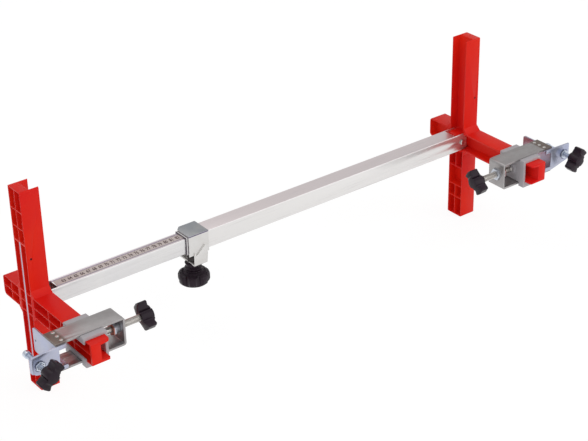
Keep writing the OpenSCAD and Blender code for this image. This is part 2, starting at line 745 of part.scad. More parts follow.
// Square nut welded behind the window of the wall plate
module wall_nut() difference() {
    along_y(front_y + jaw_t / 2, front_y + jaw_t / 2 + wall_nut_t)
        round_box([wall_x - wall_nut_side / 2, wall_z - wall_nut_side / 2],
                  [wall_x + wall_nut_side / 2, wall_z + wall_nut_side / 2], overrun);
    rod_y(front_y, front_y + 2 * wall_nut_t, wall_x, wall_z, wall_screw_d + 2 * shaft_gap);
}
module left_wall_nut() color("silver") wall_nut();
module right_wall_nut() color("silver") right() wall_nut();

// Wall screw with a point that the foot turns on
foot_y1 = front_y + jaw_t / 2 + wall_screw_reach;
foot_y0 = foot_y1 - foot_len;
wall_knob_y = front_y - wall_knob_gap;
module wall_screw() {
    rod_y(wall_knob_y - knob_hub_len * knob_bore_share, foot_y0 - run_gap, wall_x, wall_z,
          wall_screw_d);
    rod_y(foot_y0 - overrun, foot_y1 - foot_wall - run_gap, wall_x, wall_z, point_d);
}
module left_wall_screw() color("silver") wall_screw();
module right_wall_screw() color("silver") right() wall_screw();

module wall_foot() difference() {
    rod_y(foot_y0, foot_y1, wall_x, wall_z, foot_d);
    rod_y(foot_y0 - overrun, foot_y1 - foot_wall, wall_x, wall_z, point_d + 2 * shaft_gap);
}
module left_wall_foot() color("silver") wall_foot();
module right_wall_foot() color("silver") right() wall_foot();

module wall_knob(turn) {
    translate([wall_x, wall_knob_y, wall_z]) rotate([0, turn, 0]) rotate([90, 90, 0])
        wing_knob(wall_screw_d);
}
module left_wall_knob() color("dimgray") wall_knob(left_wall_knob_turn);
module right_wall_knob() color("dimgray") right() wall_knob(right_wall_knob_turn);

left_head();
left_stiffener();
left_pivot_rivet();
inner_bar();
inner_bar_plug();
scale_tape();
outer_tube();
lock_saddle();
lock_bracket();
lock_nut();
lock_pad();
lock_screw();
lock_knob();
right_head();
right_stiffener();
right_pivot_rivet();
left_carriage();
left_yoke();
left_spindle_nut();
left_spindle();
left_spindle_clip();
left_spindle_knob();
left_jaw();
left_jaw_rivets();
left_wall_nut();
left_wall_screw();
left_wall_foot();
left_wall_knob();
right_carriage();
right_yoke();
right_spindle_nut();
right_spindle();
right_spindle_clip();
right_spindle_knob();
right_jaw();
right_jaw_rivets();
right_wall_nut();
right_wall_screw();
right_wall_foot();
right_wall_knob();
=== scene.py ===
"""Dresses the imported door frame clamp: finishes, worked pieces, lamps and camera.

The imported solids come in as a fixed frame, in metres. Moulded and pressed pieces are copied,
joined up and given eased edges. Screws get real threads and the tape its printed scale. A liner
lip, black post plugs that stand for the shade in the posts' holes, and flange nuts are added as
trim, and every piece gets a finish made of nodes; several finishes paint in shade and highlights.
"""
import json
import math

import bpy
from bpy.props import FloatProperty, FloatVectorProperty, IntProperty, PointerProperty
from mathutils import Matrix, Vector


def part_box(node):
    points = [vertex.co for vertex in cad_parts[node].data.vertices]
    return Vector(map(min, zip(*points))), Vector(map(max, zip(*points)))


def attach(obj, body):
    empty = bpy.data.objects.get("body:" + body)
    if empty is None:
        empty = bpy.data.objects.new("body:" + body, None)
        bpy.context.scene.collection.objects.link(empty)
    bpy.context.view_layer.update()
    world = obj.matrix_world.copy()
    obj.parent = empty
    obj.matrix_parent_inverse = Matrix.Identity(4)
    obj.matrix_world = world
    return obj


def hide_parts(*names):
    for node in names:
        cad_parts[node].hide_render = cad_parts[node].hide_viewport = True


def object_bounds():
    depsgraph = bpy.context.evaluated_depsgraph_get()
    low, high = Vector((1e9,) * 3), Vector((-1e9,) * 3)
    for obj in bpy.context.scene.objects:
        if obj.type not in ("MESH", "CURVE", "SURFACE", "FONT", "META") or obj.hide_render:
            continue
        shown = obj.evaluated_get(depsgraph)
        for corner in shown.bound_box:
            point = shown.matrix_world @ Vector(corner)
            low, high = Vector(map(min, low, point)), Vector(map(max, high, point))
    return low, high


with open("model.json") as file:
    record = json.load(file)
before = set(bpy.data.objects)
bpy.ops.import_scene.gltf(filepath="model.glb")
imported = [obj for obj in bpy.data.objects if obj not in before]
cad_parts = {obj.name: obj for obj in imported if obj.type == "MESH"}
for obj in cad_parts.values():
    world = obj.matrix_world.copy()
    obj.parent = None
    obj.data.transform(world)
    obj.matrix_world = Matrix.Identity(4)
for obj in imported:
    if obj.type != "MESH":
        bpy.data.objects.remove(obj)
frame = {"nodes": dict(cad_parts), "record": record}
solid_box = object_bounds()

bl_info = {
    "name": "Door frame clamp",
    "version": (1, 0, 0),
    "blender": (4, 5, 0),
    "location": "3D View > Sidebar > Clamp",
    "description": "Dresses a packed door frame clamp with finishes, threads, scale and lamps",
    "category": "Object",
}

BODY_OF = {node: body for body, nodes in frame["record"]["behaviour"]["bodies"].items() for node in nodes}
SLOT_OF = {row["node"]: row["material_slot"] for row in frame["record"]["subparts"]}
SIDES = ("left", "right")
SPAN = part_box("right_head")[1].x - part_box("left_head")[0].x
MIDDLE_X = SPAN / 2
# How far the liner's lip stands out of the tube
MOUTH_REACH = 0.0036
# The span lock's pieces lie within this distance of the middle, along the bar
LOCK_REACH = 0.20
# Play between a shoulder and the piece that it turns in
PLAY = 0.0003
# Depth of a thread as a share of its pitch
THREAD_DEPTH = 0.61
# Edges sharper than the first are eased; faces that meet flatter than the others are shaded as one
EASE_ABOVE = math.radians(30)
EASED_SMOOTH = math.radians(38)
TURNED_SMOOTH = math.radians(30)
# Finishes by slot, mixed when the first is asked for
MIXED = {}


# Settings that a user would change

class ClampSizes(bpy.types.PropertyGroup):
    """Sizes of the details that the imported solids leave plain."""

    moulded_edge: FloatProperty(
        name="Moulded edge", description="Radius of the eased edges on the red heads",
        default=0.0007, min=0.0001, max=0.002, unit="LENGTH", subtype="DISTANCE")
    slide_edge: FloatProperty(
        name="Carriage edge", description="Radius of the eased edges on the carriages",
        default=0.0005, min=0.0001, max=0.001, unit="LENGTH", subtype="DISTANCE")
    sheet_edge: FloatProperty(
        name="Sheet edge", description="Radius of the deburred edges on steel strap and sheet",
        default=0.00035, min=0.0001, max=0.001, unit="LENGTH", subtype="DISTANCE")
    grip_edge: FloatProperty(
        name="Grip edge", description="Radius of the rounded edges on knobs and wings",
        default=0.0012, min=0.0003, max=0.002, unit="LENGTH", subtype="DISTANCE")
    coarse_pitch: FloatProperty(
        name="Spindle pitch", description="Pitch of the threads on the spindles and the lock screw",
        default=0.0015, min=0.001, max=0.003, unit="LENGTH", subtype="DISTANCE")
    fine_pitch: FloatProperty(
        name="Wall screw pitch", description="Pitch of the threads on the wall screws",
        default=0.00125, min=0.001, max=0.002, unit="LENGTH", subtype="DISTANCE")
    numeral_height: FloatProperty(
        name="Numeral height", description="Height of the numbers printed on the tape",
        default=0.0070, min=0.003, max=0.008, unit="LENGTH", subtype="DISTANCE")
    ink_thickness: FloatProperty(
        name="Ink thickness", description="How far the printed marks stand above the tape",
        default=0.00003, min=0.00001, max=0.0001, unit="LENGTH", subtype="DISTANCE")
    edge_steps: IntProperty(
        name="Edge steps", description="Facets across each eased edge", default=2, min=1, max=4)


class ClampColours(bpy.types.PropertyGroup):
    """Colours of the clamp's materials, as linear red, green and blue."""

    red: FloatVectorProperty(
        name="Head red", description="Main colour of the moulded heads",
        default=(0.82, 0.020, 0.006), size=3, min=0, max=1, subtype="COLOR")
    deep_red: FloatVectorProperty(
        name="Deep red", description="Where the moulding runs thicker and darker",
        default=(0.70, 0.002, 0.009), size=3, min=0, max=1, subtype="COLOR")
    carriage_grey: FloatVectorProperty(
        name="Carriage grey", description="Colour of the sliding carriages",
        default=(0.44, 0.42, 0.44), size=3, min=0, max=1, subtype="COLOR")
    knob_black: FloatVectorProperty(
        name="Knob black", description="Colour of the star knob and the wing knobs",
        default=(0.007, 0.0035, 0.006), size=3, min=0, max=1, subtype="COLOR")
    aluminium: FloatVectorProperty(
        name="Aluminium", description="Colour of the tube and the bar",
        default=(0.78, 0.77, 0.76), size=3, min=0, max=1, subtype="COLOR")
    zinc: FloatVectorProperty(
        name="Zinc", description="Colour of the plated jaws, saddle and bracket",
        default=(0.44, 0.47, 0.62), size=3, min=0, max=1, subtype="COLOR")
    lock_zinc: FloatVectorProperty(
        name="Lock zinc", description="Colour of the duller zinc on the bar's saddle and bracket",
        default=(0.72, 0.71, 0.70), size=3, min=0, max=1, subtype="COLOR")
    strap: FloatVectorProperty(
        name="Strap steel", description="Colour of the yokes' rolled strap",
        default=(0.36, 0.34, 0.34), size=3, min=0, max=1, subtype="COLOR")
    bright: FloatVectorProperty(
        name="Bright steel", description="Colour of spindles, rivets and screws",
        default=(0.62, 0.60, 0.58), size=3, min=0, max=1, subtype="COLOR")
    brass: FloatVectorProperty(
        name="Brass", description="Colour of the threaded bushes",
        default=(0.42, 0.15, 0.11), size=3, min=0, max=1, subtype="COLOR")
    tape: FloatVectorProperty(
        name="Tape", description="Ground colour of the measuring tape",
        default=(0.60, 0.52, 0.49), size=3, min=0, max=1, subtype="COLOR")
    ink: FloatVectorProperty(
        name="Ink", description="Colour of the printed numbers and ticks",
        default=(0.035, 0.010, 0.016), size=3, min=0, max=1, subtype="COLOR")


class ClampStage(bpy.types.PropertyGroup):
    """Camera, lamps and floor."""

    camera_place: FloatVectorProperty(
        name="Camera place", description="Where the camera stands",
        default=(-0.8190, -1.7060, 1.1400), size=3, unit="LENGTH", subtype="TRANSLATION")
    camera_yaw: FloatProperty(
        name="Camera yaw", description="Turn of the view from straight ahead towards the right",
        default=math.radians(36.93), unit="ROTATION", subtype="ANGLE")
    camera_dip: FloatProperty(
        name="Camera dip", description="How far the view looks down",
        default=math.radians(28.82), unit="ROTATION", subtype="ANGLE")
    camera_roll: FloatProperty(
        name="Camera roll", description="Roll of the picture",
        default=math.radians(-1.28), unit="ROTATION", subtype="ANGLE")
    camera_lens: FloatProperty(
        name="Camera lens", description="Focal length on a sensor 36 mm wide",
        default=96.8, min=20, max=300, unit="CAMERA")
    room_light: FloatProperty(
        name="Room light", description="Strength of the even light from all round",
        default=0.50, min=0, max=1)
    key_light: FloatProperty(
        name="Key lamp", description="Power of the large lamp at the front right, in watts",
        default=58, min=0, max=300)
    fill_light: FloatProperty(
        name="Fill lamp", description="Power of the lamp at the left, in watts",
        default=14, min=0, max=300)
    floor_size: FloatProperty(
        name="Floor size", description="Width of the floor",
        default=24, min=2, max=60, unit="LENGTH", subtype="DISTANCE")


# Shader wiring: sockets with arithmetic, and one way to add any node

class Wire:
    """One output socket of a finish, with the arithmetic that the finishes use."""

    def __init__(self, finish, socket):
        self.finish = finish
        self.socket = socket

    def _sum(self, operation, first, second):
        return self.finish.node("ShaderNodeMath", {"operation": operation}, {0: first, 1: second})

    def __add__(self, other):
        return self._sum("ADD", self, other)

    __radd__ = __add__

    def __sub__(self, other):
        return self._sum("SUBTRACT", self, other)

    def __rsub__(self, other):
        return self._sum("SUBTRACT", other, self)

    def __mul__(self, other):
        return self._sum("MULTIPLY", self, other)

    __rmul__ = __mul__

    def __abs__(self):
        return self.finish.node("ShaderNodeMath", {"operation": "ABSOLUTE"}, {0: self})


class Finish:
    """A material, or the world, that is wired up node by node."""

    def __init__(self, name, kind="materials"):
        self.owner = getattr(bpy.data, kind).new(name)
        self.owner.use_nodes = True
        self.tree = self.owner.node_tree
        self.tree.nodes.clear()

    def node(self, kind, settings=None, sockets=None, output=0):
        """Adds a node, sets it up, feeds its sockets and returns one of its outputs."""
        made = self.tree.nodes.new(kind)
        for key, value in (settings or {}).items():
            setattr(made, key, value)
        for key, value in (sockets or {}).items():
            if isinstance(value, Wire):
                self.tree.links.new(value.socket, made.inputs[key])
            elif made.inputs[key].type == "RGBA" and len(value) == 3:
                made.inputs[key].default_value = (*value, 1)
            else:
                made.inputs[key].default_value = value
        return Wire(self, made.outputs[output]) if made.outputs else None

    def place(self, stretch=(1, 1, 1)):
        """Object coordinates, stretched so that a pattern runs along the piece."""
        raw = self.node("ShaderNodeTexCoord", output="Object")
        return self.node("ShaderNodeMapping", {}, {"Vector": raw, "Scale": stretch})

    def along(self, axis):
        """Where a point lies along X, Y or Z."""
        return self.node("ShaderNodeSeparateXYZ", {}, {"Vector": self.place()}, output=axis)

    def from_middle(self):
        """How far along the bar a point is from the clamp's middle."""
        return abs(self.along("X") - MIDDLE_X)

    def near_lock(self):
        """1 on the span lock's pieces and 0 at the heads."""
        return self.between(self.from_middle(), LOCK_REACH, LOCK_REACH + 0.02, 1, 0)

    def noise(self, vector, scale, detail=2.0, roughness=0.5):
        """Cloudy pattern from 0 to 1."""
        return self.node("ShaderNodeTexNoise", {}, {
            "Vector": vector, "Scale": scale, "Detail": detail, "Roughness": roughness})

    def between(self, value, low, high, out_low=0.0, out_high=1.0):
        """Value carried from one range to another, and held inside it."""
        return self.node("ShaderNodeMapRange", {"clamp": True}, {
            "Value": value, "From Min": low, "From Max": high, "To Min": out_low, "To Max": out_high})

    def blend(self, factor, first, second):
        """Two colours mixed by a factor."""
        return self.node("ShaderNodeMix", {"data_type": "RGBA"}, {0: factor, 6: first, 7: second}, output=2)

    def bump(self, height, depth):
        """Surface relief of a given depth."""
        return self.node("ShaderNodeBump", {}, {"Height": height, "Distance": depth})

    def edges(self, radius):
        """1 on sharp edges and 0 on flat ground."""
        rounded = self.node("ShaderNodeBevel", {"samples": 4}, {"Radius": radius})
        true = self.node("ShaderNodeNewGeometry", output="Normal")
        match = self.node("ShaderNodeVectorMath", {"operation": "DOT_PRODUCT"}, {0: rounded, 1: true},
                          output="Value")
        return self.between(1 - match, 0.01, 0.25)

    def surface(self, sockets):
        """Ends the finish in a Principled shader with these sockets."""
        shader = self.node("ShaderNodeBsdfPrincipled", {}, sockets)
        self.node("ShaderNodeOutputMaterial", {}, {"Surface": shader})
        return self.owner


# Finishes, one for each material slot of the record, and two for the liner and the print

def moulded_red(colours):
    """Glossy injection-moulded red with flow clouds, fine grain, and paler edges: rubbed wear and painted
    highlight.
    """
    f = Finish("red_plastic")
    ground = f.place()
    clouds = f.between(f.noise(ground, 14, 3), 0.35, 0.65)
    grain = f.noise(ground, 2200, 2)
    rubs = f.between(f.noise(f.place(stretch=(60, 60, 900)), 1, 4, 0.7), 0.60, 0.75)
    edge = f.edges(0.0008)
    body = f.blend(clouds * 0.55, colours.red, colours.deep_red)
    # Paler edges: partly rubbed wear, partly a painted highlight on the rounded edges
    body = f.blend(edge * 0.5, body, (0.66, 0.055, 0.07))
    return f.surface({
        "Base Color": body, "Roughness": 0.34 + grain * 0.08 + rubs * 0.10 + edge * 0.08,
        "Specular IOR Level": 0.15, "Normal": f.bump(grain + clouds * 0.6, 0.00004)})


def moulded_grey(colours):
    """Dull grey sliding plastic with grain and rub marks along the arm."""
    f = Finish("grey_plastic")
    ground = f.place()
    clouds = f.between(f.noise(ground, 30, 3), 0.35, 0.65)
    grain = f.noise(ground, 2600, 3)
    rubs = f.between(f.noise(f.place(stretch=(700, 40, 700)), 1, 3, 0.6), 0.56, 0.72)
    edge = f.edges(0.0007)
    body = f.blend(clouds * 0.3, colours.carriage_grey, (0.42, 0.39, 0.42))
    body = f.blend(edge * 0.3 + rubs * 0.15, body, (0.66, 0.64, 0.66))
    return f.surface({
        "Base Color": body, "Roughness": 0.46 + grain * 0.12 - rubs * 0.08,
        "Normal": f.bump(grain, 0.00005)})


def moulded_black(colours):
    """Satin black grip plastic with a fine sparked texture, and edges painted near black as shade."""
    f = Finish("black_plastic")
    ground = f.place()
    grain = f.noise(ground, 1500, 3, 0.6)
    clouds = f.noise(ground, 60, 2)
    edge = f.edges(0.0012)
    body = f.blend(clouds, colours.knob_black, (0.028, 0.013, 0.026))
    # Painted shade: the edges are darkened to near black as dark contours
    body = f.blend(edge * 0.85, body, (0.001, 0.0005, 0.001))
    return f.surface({
        "Base Color": body, "Roughness": 0.24 + grain * 0.12,
        "Specular IOR Level": 0.22, "Normal": f.bump(grain, 0.00009)})


def drawn_aluminium(name, colour, warmth, roof, groove=0.0):
    """Drawn aluminium with die lines and handling marks; painted shade on its top, its edges and beside the
    tape.
    """
    f = Finish(name)
    low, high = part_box("scale_tape")
    off = abs(f.along("Y") - (low.y + high.y) / 2)
    level = f.along("Z")
    bed, line, soft = (high.y - low.y) / 2, 0.0020, 0.0003
    # Painted shade: dark lines beside the tape's bed, standing for the shadow of a groove
    painted_groove_shade = f.between(off, bed, bed + soft) * f.between(off, bed + line - soft, bed + line, 1, 0) \
        * f.between(level, low.z - 2 * soft, low.z - soft, 0, groove)
    lines = f.noise(f.place(stretch=(3, 1400, 1400)), 1, 3, 0.65)
    long_marks = f.between(f.noise(f.place(stretch=(9, 420, 420)), 1, 2), 0.58, 0.72)
    clouds = f.noise(f.place(), 22, 3)
    handling = f.between(f.noise(f.place(stretch=(260, 700, 700)), 1, 5, 0.7), 0.64, 0.70)
    edge = f.edges(0.0006)
    body = f.blend(clouds, colour, warmth)
    # Painted shade: the top face is tinted darker and pinker than the sides
    body = f.blend(f.between(level, roof - 0.0004, roof - 0.0001), body, (0.80, 0.725, 0.73))
    body = f.blend(long_marks * 0.22 + handling * 0.12, body, (0.50, 0.48, 0.48))
    # Painted shade: the edges are darkened to a dark purple line
    body = f.blend(edge * 0.7, body, (0.24, 0.20, 0.30))
    body = f.blend(painted_groove_shade, body, (0.22, 0.16, 0.29))
    return f.surface({
        "Base Color": body, "Metallic": 0.86 - handling * 0.1,
        "Roughness": 0.26 + lines * 0.14 + handling * 0.10,
        "Normal": f.bump(lines + handling * 0.4, 0.00003)})


def plated_zinc(colours):
    """Zinc-plated sheet: bluish, with faint straw tints, rolling grain and small scratches.

    The lock's sheets are duller. On the saddle, painted shade darkens the roof and draws a dark line along
    its front; the edges carry a painted highlight, dark beside the roof.
    """
    f = Finish("zinc_steel")
    clouds = f.between(f.noise(f.place(), 45, 4, 0.6), 0.35, 0.70)
    grain = f.noise(f.place(stretch=(900, 900, 60)), 1, 3, 0.6)
    scratches = f.between(f.noise(f.place(stretch=(1300, 1300, 90)), 1, 4, 0.75), 0.66, 0.72)
    edge = f.edges(0.0006)
    level, at_lock = f.along("Z"), f.near_lock()
    front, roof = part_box("lock_saddle")[0].y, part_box("lock_saddle")[1].z
    skin, line, corner, soft = 0.0006, 0.0022, 0.0016, 0.0004
    at_roof = at_lock * f.between(level, roof - skin, roof - skin + soft)
    near_roof = at_lock * f.between(level, roof - line, roof - line + soft)
    painted_crease_shade = near_roof * f.between(level, roof - skin, roof - skin / 2, 1, 0) \
        * f.between(f.along("Y"), front + corner - soft, front + corner, 1, 0)
    ground = f.blend(at_lock, colours.zinc, colours.lock_zinc)
    # Painted shade: the saddle's roof is a darker grey than its sides
    ground = f.blend(at_roof, ground, (0.34, 0.36, 0.39))
    body = f.blend(clouds * 0.35, ground, (0.60, 0.57, 0.53))
    # Painted shade: a dark line along the saddle's front, just under its roof
    body = f.blend(painted_crease_shade * 0.9, body, (0.07, 0.045, 0.13))
    # Painted highlight on the edges, brightest on the lock, with painted shade on the edges next to the
    # saddle's roof; scratches take the same colour
    painted_rim = f.blend(at_lock, (0.80, 0.81, 0.83), (0.92, 0.94, 0.92))
    painted_rim = f.blend(near_roof, painted_rim, (0.10, 0.07, 0.17))
    body = f.blend(edge * 0.6 + scratches * 0.15, body, painted_rim)
    return f.surface({
        "Base Color": body, "Metallic": 0.9 - scratches * 0.1,
        "Roughness": 0.26 + grain * 0.14 + clouds * 0.08,
        "Normal": f.bump(grain + clouds * 0.5, 0.00003)})


def rolled_strap(colours):
    """Rolled steel strap, plated grey; painted shade in a dark brown band at its ends, painted highlight on
    its edges.
    """
    f = Finish("yoke_steel")
    ground = f.place()
    shade_band_start, soft = MIDDLE_X + 0.0205, 0.0040
    shade_band = f.between(f.from_middle() + f.noise(ground, 160, 3) * 0.003, shade_band_start, shade_band_start + soft)
    clouds = f.between(f.noise(ground, 70, 4, 0.6), 0.35, 0.68)
    grain = f.noise(f.place(stretch=(40, 1300, 1300)), 1, 3, 0.65)
    edge = f.edges(0.0007)
    body = f.blend(clouds * 0.5, colours.strap, (0.46, 0.45, 0.45))
    # Painted shade: a dark brown band across the strap's ends
    body = f.blend(shade_band * 0.80, body, (0.15, 0.11, 0.085))
    # Painted highlight: paler edges
    body = f.blend(edge * 0.45, body, (0.72, 0.72, 0.73))
    return f.surface({
        "Base Color": body, "Metallic": 0.88 - shade_band * 0.1,
        "Roughness": 0.30 + grain * 0.16 + shade_band * 0.06,
        "Normal": f.bump(grain + clouds * 0.4, 0.00004)})


def turned_steel(colours):
    """Bright turned steel with fine tool rings and a little oil film.

    The jaws' rivets get dark rims of painted shade, and the wall screws are bluer than the spindles.
    """
    f = Finish("bright_steel")
    reach = f.from_middle()
    rivets, past_rivets, wall_screws = MIDDLE_X + 0.020, MIDDLE_X + 0.046, MIDDLE_X + 0.050
    soft = 0.002
    at_rivets = f.between(reach, rivets, rivets + soft) \
        * f.between(reach, past_rivets - soft, past_rivets, 1, 0)
    at_wall = f.between(reach, wall_screws, wall_screws + soft)
    film = f.between(f.noise(f.place(), 90, 4, 0.6), 0.40, 0.70)
    rings = f.noise(f.place(stretch=(2600, 300, 300)), 1, 2)
    painted_rim = f.edges(0.0006)
    body = f.blend(film * 0.4, colours.bright, (0.50, 0.46, 0.42))
    body = f.blend(at_wall, body, (0.64, 0.69, 0.78))
    # Painted shade: dark rims around the jaws' rivets
    body = f.blend(at_rivets * painted_rim, body, (0.05, 0.035, 0.03))
    return f.surface({
        "Base Color": body, "Metallic": 0.95 - film * 0.05,
        "Roughness": 0.20 + rings * 0.12 + film * 0.10,
        "Normal": f.bump(rings, 0.00002)})


def blued_spring(colours):
    """Dark spring steel of the retaining clips."""
    f = Finish("spring_steel")
    film = f.noise(f.place(), 400, 3)
    body = f.blend(film, (0.10, 0.10, 0.12), (0.20, 0.20, 0.24))
    return f.surface({"Base Color": body, "Metallic": 0.9 - film * 0.1, "Roughness": 0.30 + film * 0.15})


def worn_brass(colours):
    """Bushes and nuts: bright, with a coppered flange inside the yokes; at the lock painted dark as shade
    inside the bracket.
    """
    f = Finish("brass")
    flange_start, soft = 0.3596, 0.0004
    flange = f.between(f.from_middle(), flange_start, flange_start + soft)
    at_lock = f.near_lock()
    film = f.between(f.noise(f.place(), 120, 4, 0.6), 0.35, 0.70)
    grain = f.noise(f.place(), 1800, 2)
    edge = f.edges(0.0006)
    body = f.blend(film * 0.25, (0.64, 0.68, 0.75), (0.40, 0.38, 0.40))
    body = f.blend(flange, body, colours.brass)
    body = f.blend(edge * 0.4, body, (0.78, 0.74, 0.74))
    # Painted shade: the lock's nut is made nearly black, as the shade inside the bracket
    body = f.blend(at_lock, body, (0.05, 0.045, 0.045))
    return f.surface({
        "Base Color": body, "Metallic": 0.9 - film * 0.1,
        "Roughness": 0.26 + grain * 0.14 + film * 0.12, "Normal": f.bump(grain, 0.00002)})


def mouth_nylon():
    """White nylon of the liner at the tube's mouth, with two toothed dark lines of painted shade round it.
    """
    f = Finish("mouth_nylon")
    low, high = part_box("outer_tube")[0].x - MOUTH_REACH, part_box("outer_tube")[0].x
    tooth = 0.0005
    teeth = f.node("ShaderNodeMath", {"operation": "PINGPONG"}, {0: f.along("Z"), 1: tooth})
    off = abs(f.along("X") - (low + high) / 2) + teeth * 0.7
    painted_gap_shade = f.between(off, (high - low) * 0.22, (high - low) * 0.27)
    clouds = f.noise(f.place(), 300, 3)
    body = f.blend(clouds * 0.3, (0.80, 0.79, 0.77), (0.66, 0.64, 0.64))
    # Painted shade: two toothed dark lines round the lip, standing for the gaps beside it
    body = f.blend(painted_gap_shade * 0.9, body, (0.05, 0.03, 0.06))
    return f.surface({"Base Color": body, "Roughness": 0.40 + clouds * 0.15})


def tape_ground(colours):
    """Lacquered tape with a faint weave of print dots and rubbed patches."""
    f = Finish("tape")
    clouds = f.between(f.noise(f.place(), 60, 4), 0.35, 0.70)
    dots = f.noise(f.place(), 3200, 1)
    body = f.blend(clouds * 0.5, colours.tape, (0.50, 0.42, 0.41))
    body = f.blend(dots * 0.15, body, (0.72, 0.67, 0.65))
    return f.surface({"Base Color": body, "Roughness": 0.36 + clouds * 0.12 + dots * 0.05})


def printed_ink(colours):
    """Dark red-brown print."""
    f = Finish("tape_ink")
    dots = f.noise(f.place(), 2400, 2)
    body = f.blend(dots * 0.5, colours.ink, (0.14, 0.05, 0.05))
    return f.surface({"Base Color": body, "Roughness": 0.42 + dots * 0.1})


def mix_finishes():
    """Makes every finish once and returns them by slot name."""
    colours = bpy.context.scene.clamp_colours
    return {
        "red_plastic": moulded_red(colours), "grey_plastic": moulded_grey(colours),
        "black_plastic": moulded_black(colours),
        "tube_aluminium": drawn_aluminium("tube_aluminium", colours.aluminium, (0.80, 0.78, 0.77),
                                          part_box("outer_tube")[1].z),
        "bar_aluminium": drawn_aluminium("bar_aluminium", colours.aluminium, (0.72, 0.71, 0.72),
                                         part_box("inner_bar")[1].z, groove=0.8),
        "zinc_steel": plated_zinc(colours), "yoke_steel": rolled_strap(colours),
        "bright_steel": turned_steel(colours), "spring_steel": blued_spring(colours),
        "brass": worn_brass(colours), "nylon": mouth_nylon(), "tape": tape_ground(colours),
        "tape_ink": printed_ink(colours)}


def finish(slot):
    """The finish of a slot, mixed when it is first asked for."""
    if not MIXED:
        MIXED.update(mix_finishes())
    return MIXED[slot]


# Workshop helpers

def lay_down_tools():
    """Object mode, with nothing selected."""
    if bpy.context.object and bpy.context.object.mode != "OBJECT":
        bpy.ops.object.mode_set(mode="OBJECT")
    bpy.ops.object.select_all(action="DESELECT")


def take_up(piece):
    """Makes one piece the only selected and active object."""
    lay_down_tools()
    piece.select_set(True)
    bpy.context.view_layer.objects.active = piece


def edit(piece, mode="FACE"):
    """Opens a piece for editing with all of it selected."""
    take_up(piece)
    bpy.ops.object.mode_set(mode="EDIT")
    bpy.ops.mesh.select_mode(type=mode)
    bpy.ops.mesh.select_all(action="SELECT")


def choose(piece, wanted, mode="VERT"):
    """Selects just the points, or in face mode the faces, that pass a test, in edit mode."""
    edit(piece, mode)
    bpy.ops.mesh.select_all(action="DESELECT")
    bpy.ops.object.mode_set(mode="OBJECT")
    for item in piece.data.vertices if mode == "VERT" else piece.data.polygons:
        item.select = wanted(item)
    bpy.ops.object.mode_set(mode="EDIT")


def set_in_place():
    """Works the place, turn and size of the piece in hand into its mesh."""
    bpy.ops.object.transform_apply(location=True, rotation=True, scale=True)


def close_up():
    """Turns every face of the piece in hand outwards and leaves edit mode."""
    bpy.ops.mesh.select_all(action="SELECT")
    bpy.ops.mesh.normals_make_consistent(inside=False)
    bpy.ops.object.mode_set(mode="OBJECT")


def fit(piece, body, slot, *nodes, paint=None):
    """Sends a finished piece to its body, paints it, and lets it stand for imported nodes."""
    lay_down_tools()
    piece.data.materials.clear()
    piece.data.materials.append(finish(paint or slot))
    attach(piece, body)
    if nodes:
        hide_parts(*nodes)
    return piece


def joined_copy(node, name):
    """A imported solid's mesh as a new piece, its loose triangles joined into clean faces."""
    piece = bpy.data.objects.new(name, frame["nodes"][node].data.copy())
    bpy.context.scene.collection.objects.link(piece)
    weld, flat = 0.000002, math.radians(0.4)
    edit(piece, "VERT")
    bpy.ops.mesh.remove_doubles(threshold=weld)
    bpy.ops.mesh.dissolve_limited(angle_limit=flat)
    bpy.ops.object.mode_set(mode="OBJECT")
    if piece.data.has_custom_normals:
        bpy.ops.mesh.customdata_custom_splitnormals_clear()
    return piece


def ease_edges(piece, radius, steps):
    """Rounds the sharp edges of a piece and smooths what is left."""
    take_up(piece)
    eased = piece.modifiers.new("Eased edges", "BEVEL")
    eased.width = radius
    eased.segments = steps
    eased.limit_method = "ANGLE"
    eased.angle_limit = EASE_ABOVE
    eased.miter_outer = "MITER_ARC"
    bpy.ops.object.modifier_apply(modifier=eased.name)
    bpy.ops.object.shade_smooth_by_angle(angle=EASED_SMOOTH)
    return piece


def eased_piece(node, radius):
    """A node's piece with eased edges, fitted in the node's stead."""
    sizes = bpy.context.scene.clamp_sizes
    piece = ease_edges(joined_copy(node, node + "_eased"), radius, sizes.edge_steps)
    return fit(piece, BODY_OF[node], SLOT_OF[node], node)


def turned(name, profile, sides=40):
    """A turned solid standing on +Z. Profile rows are height and radius, from foot to top."""
    lay_down_tools()
    level, radius = profile[0]
    bpy.ops.mesh.primitive_circle_add(
        vertices=sides, radius=radius, fill_type="NGON", location=(0, 0, level))
    piece = bpy.context.object
    piece.name = name
    set_in_place()
    edit(piece)
    for height, wide in profile[1:]:
        bpy.ops.mesh.extrude_region_move(TRANSFORM_OT_translate={"value": (0, 0, height - level)})
        bpy.ops.transform.resize(value=(wide / radius, wide / radius, 1), center_override=(0, 0, height))
        level, radius = height, wide
    close_up()
    bpy.ops.object.shade_smooth_by_angle(angle=TURNED_SMOOTH)
    return piece


